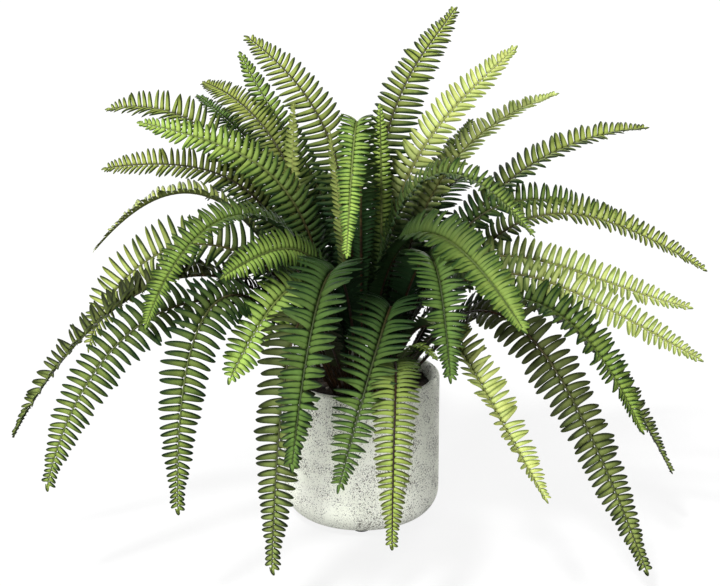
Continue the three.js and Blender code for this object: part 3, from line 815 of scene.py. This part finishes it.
class Nodes:
    """A material's node tree, with short calls for what repeats."""

    def __init__(self, name):
        self.material = bpy.data.materials.new(name)
        self.material.use_nodes = True
        self.tree = self.material.node_tree
        self.shader = self.tree.nodes["Principled BSDF"]
        self.place = Value(self, self.add("ShaderNodeTexCoord").outputs["Object"])

    def add(self, kind, **settings):
        """A new node of a kind, with its settings."""
        node = self.tree.nodes.new(kind)
        for key, value in settings.items():
            setattr(node, key, value)
        return node

    def fill(self, node, **inputs):
        """Gives the inputs of a node their values. In their names, _ stands for a space."""
        for name, value in inputs.items():
            self.feed(node.inputs[name.replace("_", " ")], value)

    def feed(self, socket, value):
        """Gives an input a fixed value, or that of another node."""
        if isinstance(value, Value):
            self.tree.links.new(value.socket, socket)
        else:
            socket.default_value = value

    def math(self, operation, *values):
        """The result of a sum with these values."""
        node = self.add("ShaderNodeMath", operation=operation)
        for socket, value in zip(node.inputs, values):
            self.feed(socket, value)
        return Value(self, node.outputs[0])

    def mix(self, share, first, second):
        """A colour between two others."""
        node = self.add("ShaderNodeMix", data_type="RGBA")
        self.fill(node, Factor=share, A=first, B=second)
        return Value(self, node.outputs["Result"])

    def tone(self, colour, hue, value):
        """A colour with its hue turned and its value scaled."""
        node = self.add("ShaderNodeHueSaturation")
        self.fill(node, Color=colour, Hue=hue, Value=value)
        return Value(self, node.outputs["Color"])

    def parts(self, colour):
        """The three parts of a colour."""
        node = self.add("ShaderNodeSeparateColor")
        self.fill(node, Color=colour)
        return [Value(self, output) for output in node.outputs]

    def ramp(self, value, first, last):
        """As smooth does, for a value from another node."""
        node = self.add("ShaderNodeMapRange", interpolation_type="SMOOTHSTEP")
        self.fill(node, Value=value, From_Min=first, From_Max=last)
        return Value(self, node.outputs["Result"])

    def noise(self, scale, detail, roughness=0.55):
        """A cloudy field between 0 and 1."""
        node = self.add("ShaderNodeTexNoise")
        self.fill(node, Scale=scale, Detail=detail, Roughness=roughness, Vector=self.place)
        return Value(self, node.outputs["Fac"])

    def cells(self, scale, output="Distance"):
        """A field of scattered points: how far the nearest one is, or its own colour."""
        node = self.add("ShaderNodeTexVoronoi")
        self.fill(node, Scale=scale, Vector=self.place)
        return Value(self, node.outputs[output])

    def attribute(self, name, output="Fac"):
        """What the mesh holds under a name."""
        node = self.add("ShaderNodeAttribute", attribute_name=name)
        return Value(self, node.outputs[output])

    def surface(self, colour, roughness, shine=0.5):
        """The colour, the roughness and the shine of the surface."""
        self.fill(self.shader, Base_Color=colour, Roughness=roughness, Specular_IOR_Level=shine)

    def bump(self, height, distance, strength):
        """Fine relief from a field of heights."""
        node = self.add("ShaderNodeBump")
        self.fill(node, Height=height, Distance=distance, Strength=strength)
        self.fill(self.shader, Normal=Value(self, node.outputs["Normal"]))


def rgb(red, green, blue):
    """A colour that covers fully."""
    return (red, green, blue, 1)


# Each tint has the colours of a leaflet's light stripe, which is a painted highlight, of its body, of
# its rim, which also serves as painted shade, and of the frond's rib, and the share of the blade
# where leaflets are out of the painted shade of the plant's crowded middle. A share above 1 leaves
# even the last ones in a little painted shade.
LEAF_TINTS = {
    "deep_olive": (rgb(0.340, 0.415, 0.110), rgb(0.055, 0.077, 0.016), rgb(0.009, 0.014, 0.005),
                   rgb(0.045, 0.055, 0.018), 1.15),
    "deep_green": (rgb(0.136, 0.222, 0.051), rgb(0.047, 0.087, 0.016), rgb(0.006, 0.014, 0.005),
                   rgb(0.032, 0.048, 0.014), 0.85),
    "forest": (rgb(0.460, 0.590, 0.125), rgb(0.062, 0.097, 0.015), rgb(0.007, 0.014, 0.004),
               rgb(0.075, 0.100, 0.028), 1.35),
    "olive": (rgb(0.355, 0.405, 0.095), rgb(0.126, 0.156, 0.026), rgb(0.014, 0.022, 0.005),
              rgb(0.045, 0.048, 0.016), 0.95),
    "khaki": (rgb(0.460, 0.520, 0.150), rgb(0.225, 0.268, 0.050), rgb(0.030, 0.040, 0.009),
              rgb(0.100, 0.115, 0.030), 0.85),
    "fresh": (rgb(0.440, 0.585, 0.135), rgb(0.185, 0.270, 0.045), rgb(0.030, 0.058, 0.011),
              rgb(0.070, 0.100, 0.025), 1.45),
    "green": (rgb(0.280, 0.395, 0.078), rgb(0.086, 0.131, 0.019), rgb(0.011, 0.023, 0.006),
              rgb(0.070, 0.095, 0.024), 1.00),
    "bright": (rgb(0.380, 0.510, 0.115), rgb(0.180, 0.262, 0.042), rgb(0.036, 0.068, 0.013),
               rgb(0.110, 0.145, 0.035), 0.92),
    "yellow": (rgb(0.480, 0.540, 0.185), rgb(0.305, 0.355, 0.090), rgb(0.115, 0.145, 0.034),
               rgb(0.200, 0.220, 0.060), 0.65),
    "pale": (rgb(0.370, 0.455, 0.098), rgb(0.155, 0.210, 0.038), rgb(0.045, 0.046, 0.013),
             rgb(0.020, 0.011, 0.007), 0.80),
}

# Painted shade on leaflets low on the frond, in the plant's crowded middle: its colours, and how its
# share grows less up the blade
THICKET_SHADE_LEAF = rgb(0.006, 0.019, 0.006)
THICKET_SHADE_OLIVE = rgb(0.017, 0.021, 0.007)
UNSHADED_FROM = 0.05
UNSHADED_POWER = 1.3
UNSHADED_LEAST = 0.04

# Leaflet pattern, from 0 to 1 along and across a leaflet. A noise has its scale and its detail,
# and a band has the values where something starts and where it is full.
MIDRIB = 0.5
BLOTCH = (95, 4)
BLOTCH_SPREAD = 0.8
VEINS = 17.0
VEIN_SLANT = 1.6
VEIN_BAND = (0.34, 0.50)
VEIN_DARK = 0.22
# The stripe is a painted highlight, on the half of a leaflet towards the frond's tip
STRIPE_AT = 0.65
STRIPE_TAPER = 0.25
STRIPE_BAND = (0.34, 0.02)
STRIPE_FADE = (0.95, 0.25)
STRIPE_LIGHT = 0.62
# Painted shade: darker on the back half and towards the rim, and darker also towards the tip
RIM_OF_OFF = 0.2
RIM_ALONG_POWER = 1.7
BACK_HALF_SHADE = 1.6
RIM_OF_CHANCE = 0.6
RIM_BAND = (0.20, 0.95)
UNDER_OF_BODY = 0.5
UNDER_OF_RIM = 0.3
UNDER_LEAST = 0.003
UNDER_SHARE = 0.8
LEAF_HUE = 0.494
LEAF_HUE_SPREAD = 0.022
LEAF_CLOUD = (38, 2)
LEAF_VALUE = 0.75
LEAF_VALUE_SPREAD = 0.55
LEAF_ROUGH = 0.36
LEAF_ROUGH_SPREAD = 0.16
UNDER_ROUGH = 0.3
LEAF_SHINE = 0.06
LEAF_PORES = (420, 2)
VEIN_DEPTH = 0.9
LEAF_RELIEF = (0.00014, 0.8)


def leaf_colour(m, tint, along, across, chance, spread, vein):
    """The upper side: a painted highlight in a stripe near the midrib, on the half towards the
    frond's tip, painted shade on the other half and towards the rim, darker towards the tip, and dark
    along the side veins."""
    light, body, rim, _, _ = LEAF_TINTS[tint]
    off = abs(across - MIDRIB) * 2.0
    edge = off ** 2.0 * RIM_OF_OFF + along ** RIM_ALONG_POWER + (MIDRIB - across) * BACK_HALF_SHADE
    edge = edge + spread + (chance - 0.5) * RIM_OF_CHANCE
    aside = abs(across - STRIPE_AT) - (1.0 - along) * STRIPE_TAPER
    stripe = m.ramp(aside, *STRIPE_BAND) * m.ramp(along + spread, *STRIPE_FADE)
    colour = m.mix(m.ramp(edge, *RIM_BAND), body, rim)
    colour = m.mix(vein * VEIN_DARK, colour, rim)
    return m.mix(stripe * STRIPE_LIGHT, colour, light)


def leaf_material(tint):
    """Patterned above and paler below. Leaflets low on the frond are darker with painted shade."""
    _, body, rim, _, unshaded_at = LEAF_TINTS[tint]
    m = Nodes("leaf_" + tint)
    along, across, chance = m.parts(m.attribute("leaf", "Color"))
    under = m.attribute("under")
    blotch = m.noise(*BLOTCH)
    spread = (blotch - 0.5) * BLOTCH_SPREAD

    # Side veins run out from the midrib and forward to the rim
    phase = along * VEINS - abs(across - MIDRIB) * 2.0 * VEIN_SLANT
    vein = m.ramp(m.math("PINGPONG", phase, 0.5), *VEIN_BAND)

    colour = leaf_colour(m, tint, along, across, chance, spread, vein)
    pale = [UNDER_OF_BODY * a + UNDER_OF_RIM * b + UNDER_LEAST for a, b in zip(body, rim)]
    colour = m.mix(under * UNDER_SHARE, colour, rgb(*pale[:3]))
    # Painted shade on leaflets low on the blade, in the plant's crowded middle
    unshaded = m.ramp(m.attribute("leaf", "Alpha"), UNSHADED_FROM, unshaded_at) ** UNSHADED_POWER
    thicket_shade = THICKET_SHADE_OLIVE if tint == "deep_olive" else THICKET_SHADE_LEAF
    colour = m.mix(unshaded * (1 - UNSHADED_LEAST) + UNSHADED_LEAST, thicket_shade, colour)
    hue = chance * LEAF_HUE_SPREAD + LEAF_HUE
    value = m.noise(*LEAF_CLOUD) * LEAF_VALUE_SPREAD + LEAF_VALUE
    roughness = blotch * LEAF_ROUGH_SPREAD + LEAF_ROUGH + under * UNDER_ROUGH
    m.surface(m.tone(colour, hue, value), roughness, LEAF_SHINE)
    m.bump(m.noise(*LEAF_PORES) - vein * VEIN_DEPTH, *LEAF_RELIEF)
    return m.material


# Ribs. Their dark brown near the soil is partly scales and partly painted shade of the plant's
# crowded middle. Where the scales end differs a little with their grain.
SCALES_AND_SHADE_DARK = rgb(0.009, 0.006, 0.003)
SCALES_AND_SHADE_BROWN = rgb(0.030, 0.014, 0.006)
SCALE_GRAIN = (240, 4)
SCALE_BAND = (0.35, 0.65)
SCALES_AND_SHADE_END = (0.35, 0.80)
SCALES_FRAY = 0.25
RIB_ROUGH = 0.5
RIB_SHINE = 0.12
RIB_PORES = (900, 3)
RIB_RELIEF = (0.00015, 0.8)


def rib_material(tint):
    """Brown and scaly near the soil, darkened there with painted shade, and in the tint's own colour
    further out.
    """
    _, _, _, clean, _ = LEAF_TINTS[tint]
    m = Nodes("rib_" + tint)
    share, _, _ = m.parts(m.attribute("leaf", "Color"))
    grain = m.noise(*SCALE_GRAIN)
    scales_and_shade = m.mix(m.ramp(grain, *SCALE_BAND), SCALES_AND_SHADE_DARK, SCALES_AND_SHADE_BROWN)
    high = share + (grain - 0.5) * SCALES_FRAY
    m.surface(m.mix(m.ramp(high, *SCALES_AND_SHADE_END), scales_and_shade, clean), RIB_ROUGH, RIB_SHINE)
    m.bump(m.noise(*RIB_PORES), *RIB_RELIEF)
    return m.material


# Pot. Specks have the scale of their cells, the noise that frays them and its share, and the
# band of the field from bare ground to a full speck. They crowd together in patches.
GROUND_DARK = rgb(0.885, 0.915, 0.785)
GROUND_LIGHT = rgb(0.95, 0.965, 0.865)
GROUND_CLOUD = (22, 4)
GROUND_BAND = (0.3, 0.7)
PATCHES = (45, 3)
FINE_SPECKS = 1000
FINE_LEVEL = 0.45
FINE_CROWDING = 0.9
FINE_BAND = (0.36, 0.24)
CROWDING = 0.5
MIDDLE_SPECKS = (500, (600, 2), 0.35, (0.48, 0.40))
LARGE_SPECKS = (240, (700, 3), 0.30, (0.34, 0.28))
SPECK_TONES = 400
SPECK_DARK = rgb(0.034, 0.030, 0.018)
SPECK_BROWN = rgb(0.205, 0.195, 0.140)
SPECK_LARGE = rgb(0.050, 0.045, 0.030)
FINE_COVER = 0.60
MIDDLE_COVER = 0.85
LARGE_COVER = 0.90
POT_ROUGH = 0.62
POT_ROUGH_SPREAD = 0.25
POT_GRAIN = (350, 4)
MIDDLE_DEPTH = 0.8
POT_RELIEF = (0.00022, 0.6)


def specks(m, kind, crowd):
    """Where specks of a kind lie: 1 on a speck and 0 beside it."""
    scale, fray, share, band = kind
    return m.ramp(m.cells(scale) + m.noise(*fray) * share - crowd, *band)


def pot_material():
    """Off-white stoneware with dense fine dark specks, a few larger ones, and small pits."""
    m = Nodes("speckled_stoneware")
    ground = m.mix(m.ramp(m.noise(*GROUND_CLOUD), *GROUND_BAND), GROUND_DARK, GROUND_LIGHT)
    patch = m.noise(*PATCHES)
    fine = m.ramp(m.cells(FINE_SPECKS) - (patch - FINE_LEVEL) * FINE_CROWDING, *FINE_BAND)
    crowd = (patch - 0.5) * CROWDING
    middle = specks(m, MIDDLE_SPECKS, crowd)
    large = specks(m, LARGE_SPECKS, crowd)
    dark = m.mix(m.cells(SPECK_TONES, "Color"), SPECK_DARK, SPECK_BROWN)
    colour = m.mix(fine * FINE_COVER, ground, dark)
    colour = m.mix(middle * MIDDLE_COVER, colour, dark)
    colour = m.mix(large * LARGE_COVER, colour, SPECK_LARGE)
    m.surface(colour, patch * POT_ROUGH_SPREAD + POT_ROUGH)
    m.bump(m.noise(*POT_GRAIN) - middle * MIDDLE_DEPTH - large, *POT_RELIEF)
    return m.material


# Soil, crumbs and pads: the two colours of each, and the noises of its colour and its relief
SOIL_COLOURS = (rgb(0.008, 0.006, 0.005), rgb(0.040, 0.028, 0.018))
SOIL_GRAIN = (420, 5, 0.7)
SOIL_BAND = (0.35, 0.68)
SOIL_CLODS = (700, 5, 0.7)
SOIL_RELIEF = (0.0012, 1.0)
SOIL_DULL = 0.95
BARK_COLOURS = (rgb(0.010, 0.007, 0.005), rgb(0.055, 0.036, 0.022))
BARK_GRAIN = (600, 4)
BARK_PORES = (1500, 4)
BARK_RELIEF = (0.0004, 1.0)
BARK_DULL = 0.92
PERLITE = rgb(0.42, 0.39, 0.33)
PERLITE_FROM = 0.965
# The pads' near-black colours hold painted shade under the pot as well as black rubber
PAD_COLOURS = (rgb(0.003, 0.003, 0.003), rgb(0.009, 0.009, 0.009))
PAD_GRAIN = (300, 3)
PAD_PORES = (1800, 2)
PAD_RELIEF = (0.0001, 0.5)
PAD_DULL = 0.85


def soil_material():
    """Nearly black, crumbly soil."""
    m = Nodes("potting_soil")
    m.surface(m.mix(m.ramp(m.noise(*SOIL_GRAIN), *SOIL_BAND), *SOIL_COLOURS), SOIL_DULL)
    m.bump(m.noise(*SOIL_CLODS), *SOIL_RELIEF)
    return m.material


def crumb_material():
    """Dark bark, and pale grains where a crumb's kind is high."""
    m = Nodes("bark_crumbs")
    bark = m.mix(m.noise(*BARK_GRAIN), *BARK_COLOURS)
    pale = m.math("GREATER_THAN", m.attribute("kind"), PERLITE_FROM)
    m.surface(m.mix(pale, bark, PERLITE), BARK_DULL)
    m.bump(m.noise(*BARK_PORES), *BARK_RELIEF)
    return m.material


def pad_material():
    """Black, dull rubber, made darker still with the painted shade under the pot."""
    m = Nodes("black_rubber_and_shade")
    m.surface(m.mix(m.noise(*PAD_GRAIN), *PAD_COLOURS), PAD_DULL, 0)
    m.bump(m.noise(*PAD_PORES), *PAD_RELIEF)
    return m.material


# The object

def settle(piece, materials, material_slot, *nodes):
    """Gives a piece its materials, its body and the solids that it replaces."""
    for material in materials:
        piece.data.materials.append(material)
    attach(piece, "root")
    if nodes:
        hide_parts(*nodes)


def build_pot():
    """The pot with its soil, crumbs and pads."""
    draw = np.random.default_rng(SEED + 1)
    settle(pot_object(), [pot_material()], "pot", "pot")
    waves = soil_waves(draw)
    settle(soil_object(waves), [soil_material()], "soil", "soil")
    settle(crumbs_object(draw, waves), [crumb_material()], "soil")
    rubber = pad_material()
    for node in sorted(n for n in frame["nodes"] if n.startswith("pad_")):
        settle(pad_object(node), [rubber], "pad", node)


def build_plant():
    """All the fronds, each with the two materials of its tint."""
    draw = np.random.default_rng(SEED)
    leaves = {tint: leaf_material(tint) for tint in LEAF_TINTS}
    ribs = {tint: rib_material(tint) for tint in LEAF_TINTS}
    slots = {row["node"]: row["material_slot"] for row in frame["record"]["subparts"]}
    for node, row in FRONDS.items():
        tint = row[5]
        piece = frond_object("fern_" + node, row, draw)
        settle(piece, [leaves[tint], ribs[tint]], slots[node], node)


# Studio

def sun_light(name, place, spread, power):
    """Light from far away, from the way of a place as seen from the pot."""
    data = bpy.data.lights.new(name, "SUN")
    data.angle = math.radians(spread)
    data.energy = power
    lamp = add_object(name, data)
    lamp.location = place
    lamp.rotation_euler = Vector(place).to_track_quat("Z", "Y").to_euler()


def build_floor():
    """A wide floor that glows evenly and lights nothing else."""
    corners = [(FLOOR_REACH * x, FLOOR_REACH * y, 0) for x, y in ((-1, -1), (1, -1), (1, 1), (-1, 1))]
    floor = mesh_object("floor", corners, [(0, 1, 2, 3)])
    floor.visible_diffuse = False
    m = Nodes("pale_floor")
    m.surface(rgb(*[FLOOR_GREY] * 3), FLOOR_ROUGH, FLOOR_SHINE)
    m.fill(m.shader, Emission_Color=rgb(1, 1, 1), Emission_Strength=FLOOR_GLOW)
    floor.data.materials.append(m.material)


def build_studio():
    """The floor, the even light of the room and the lights from far away."""
    build_floor()
    world = bpy.data.worlds.new("soft_room")
    world.use_nodes = True
    inputs = world.node_tree.nodes["Background"].inputs
    inputs["Color"].default_value = rgb(1, 1, 1)
    inputs["Strength"].default_value = ROOM_GLOW
    bpy.context.scene.world = world
    for name, (place, spread, power) in SUNS.items():
        sun_light(name, place, spread, power)
    bpy.context.scene.view_settings.view_transform = "Standard"


def build_camera():
    """The camera, turned down towards the plant."""
    data = bpy.data.cameras.new("camera")
    data.lens = LENS
    data.sensor_width = SENSOR
    camera = add_object("camera", data)
    camera.location = CAMERA_PLACE
    camera.rotation_euler = (math.radians(90 - CAMERA_DOWN), 0, 0)
    bpy.context.scene.camera = camera


build_camera()
build_studio()
build_pot()
build_plant()
